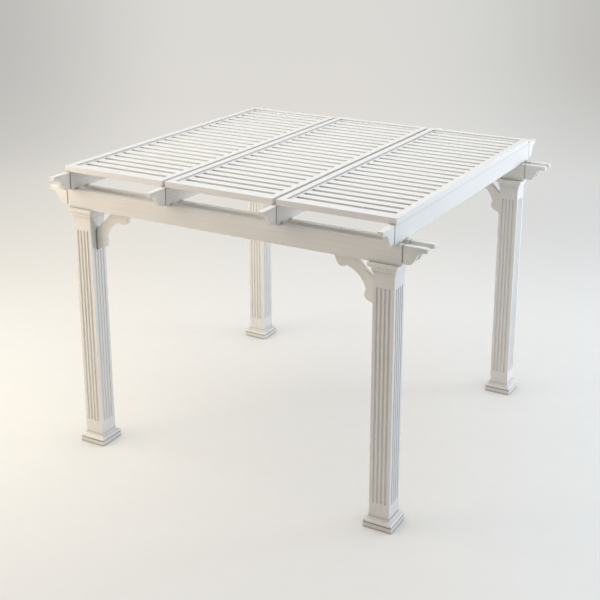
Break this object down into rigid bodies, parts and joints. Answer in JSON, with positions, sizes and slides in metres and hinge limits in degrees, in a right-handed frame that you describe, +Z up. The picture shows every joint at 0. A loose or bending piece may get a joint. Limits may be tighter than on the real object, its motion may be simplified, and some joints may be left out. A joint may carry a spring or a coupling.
{
  "type": "pergola",
  "caption": "Free-standing white vinyl pergola: fluted square posts with moulded bases and capitals, twin headers, rafters with scrolled ends, curved brackets and slatted roof panels.",
  "frame": {"origin": "on the floor, at the centre between the four posts", "axes": "+X runs along the headers to the right seen from the front, +Y runs along the rafters from front to rear, +Z is up"},
  "size_m": [3.712, 3.578, 2.708],
  "materials": {
    "post_vinyl": "satin",
    "trim_vinyl": "satin",
    "board_vinyl": "satin",
    "end_vinyl": "satin",
    "panel_vinyl": "satin",
    "slat_vinyl": "satin"
  },
  "bodies": {
    "root": {"post_front_left": "post_vinyl", "post_front_right": "post_vinyl", "post_rear_left": "post_vinyl", "post_rear_right": "post_vinyl", "base_front_left": "trim_vinyl", "base_front_right": "trim_vinyl", "base_rear_left": "trim_vinyl", "base_rear_right": "trim_vinyl", "capital_front_left": "trim_vinyl", "capital_front_right": "trim_vinyl", "capital_rear_left": "trim_vinyl", "capital_rear_right": "trim_vinyl", "bracket_front_left": "post_vinyl", "bracket_front_right": "post_vinyl", "bracket_rear_left": "post_vinyl", "bracket_rear_right": "post_vinyl", "header_front_outer": "board_vinyl", "header_front_inner": "board_vinyl", "header_rear_inner": "board_vinyl", "header_rear_outer": "board_vinyl", "header_ends_front_left": "end_vinyl", "header_ends_front_right": "end_vinyl", "header_ends_rear_left": "end_vinyl", "header_ends_rear_right": "end_vinyl", "rafter_left": "board_vinyl", "rafter_mid_left": "board_vinyl", "rafter_mid_right": "board_vinyl", "rafter_right": "board_vinyl", "rafter_end_front_left": "end_vinyl", "rafter_end_front_mid_left": "end_vinyl", "rafter_end_front_mid_right": "end_vinyl", "rafter_end_front_right": "end_vinyl", "rafter_end_rear_left": "end_vinyl", "rafter_end_rear_mid_left": "end_vinyl", "rafter_end_rear_mid_right": "end_vinyl", "rafter_end_rear_right": "end_vinyl", "panel_left_frame": "panel_vinyl", "panel_mid_frame": "panel_vinyl", "panel_right_frame": "panel_vinyl", "panel_left_slats": "slat_vinyl", "panel_mid_slats": "slat_vinyl", "panel_right_slats": "slat_vinyl"}
  },
  "joints": []
}
